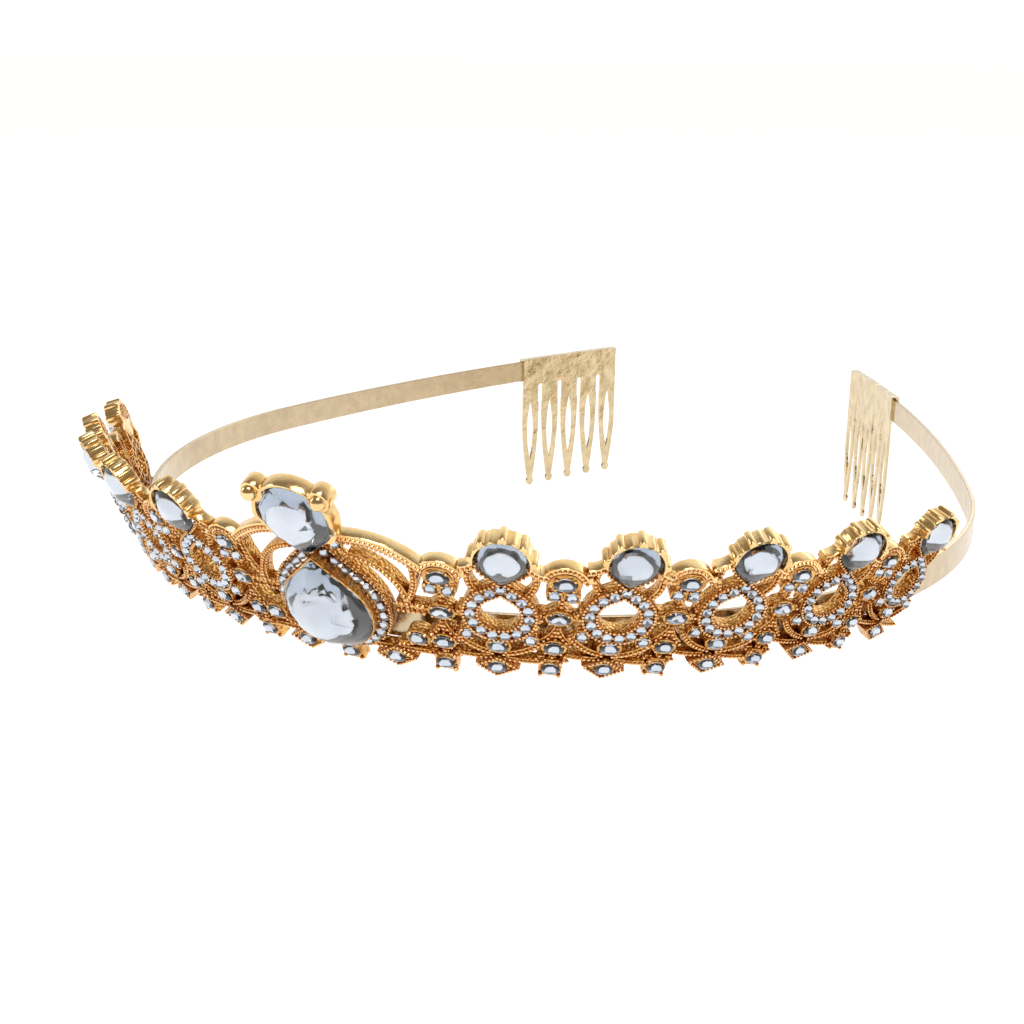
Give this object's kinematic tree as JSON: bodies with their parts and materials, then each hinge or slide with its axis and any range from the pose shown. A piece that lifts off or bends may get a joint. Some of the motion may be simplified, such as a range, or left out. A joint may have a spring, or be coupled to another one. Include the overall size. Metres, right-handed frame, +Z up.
{
  "type": "rhinestone tiara",
  "caption": "Gold openwork tiara with clear pear and round stones on a spring band that ends in two folded-on side combs.",
  "frame": {"origin": "centre of the band's front curve, level with the band's lower edge: the middle of the head that wears it", "axes": "+Z up, front of the tiara towards -Y, arms and combs towards +Y, +X to the right of someone who looks at the front"},
  "size_m": [0.1542, 0.2062, 0.0553],
  "materials": {
    "band_gold": "polished pale gold plate on spring strip",
    "comb_gold": "bright gold plate on stamped sheet, dented along the crimp",
    "panel_gold": "bright yellow gold plate on cast openwork, amber in the recesses",
    "clear_stone": "clear foil-backed faceted crystal"
  },
  "bodies": {
    "root": {"band": "band_gold", "centre_drop_stone": "clear_stone", "centre_medallion": "panel_gold", "centre_small_stones": "clear_stone", "comb_left": "comb_gold", "comb_right": "comb_gold", "crest_setting": "panel_gold", "crest_stone": "clear_stone", "halo_stones": "clear_stone", "link_left_1": "panel_gold", "link_left_2": "panel_gold", "link_left_3": "panel_gold", "link_left_4": "panel_gold", "link_left_5": "panel_gold", "link_right_1": "panel_gold", "link_right_2": "panel_gold", "link_right_3": "panel_gold", "link_right_4": "panel_gold", "link_right_5": "panel_gold", "link_stones_left_1": "clear_stone", "link_stones_left_2": "clear_stone", "link_stones_left_3": "clear_stone", "link_stones_left_4": "clear_stone", "link_stones_left_5": "clear_stone", "link_stones_right_1": "clear_stone", "link_stones_right_2": "clear_stone", "link_stones_right_3": "clear_stone", "link_stones_right_4": "clear_stone", "link_stones_right_5": "clear_stone", "motif_left_1": "panel_gold", "motif_left_2": "panel_gold", "motif_left_3": "panel_gold", "motif_left_4": "panel_gold", "motif_left_5": "panel_gold", "motif_right_1": "panel_gold", "motif_right_2": "panel_gold", "motif_right_3": "panel_gold", "motif_right_4": "panel_gold", "motif_right_5": "panel_gold", "motif_stones_left_1": "clear_stone", "motif_stones_left_2": "clear_stone", "motif_stones_left_3": "clear_stone", "motif_stones_left_4": "clear_stone", "motif_stones_left_5": "clear_stone", "motif_stones_right_1": "clear_stone", "motif_stones_right_2": "clear_stone", "motif_stones_right_3": "clear_stone", "motif_stones_right_4": "clear_stone", "motif_stones_right_5": "clear_stone", "pear_stone_left_1": "clear_stone", "pear_stone_left_2": "clear_stone", "pear_stone_left_3": "clear_stone", "pear_stone_left_4": "clear_stone", "pear_stone_left_5": "clear_stone", "pear_stone_right_1": "clear_stone", "pear_stone_right_2": "clear_stone", "pear_stone_right_3": "clear_stone", "pear_stone_right_4": "clear_stone", "pear_stone_right_5": "clear_stone"}
  },
  "joints": []
}
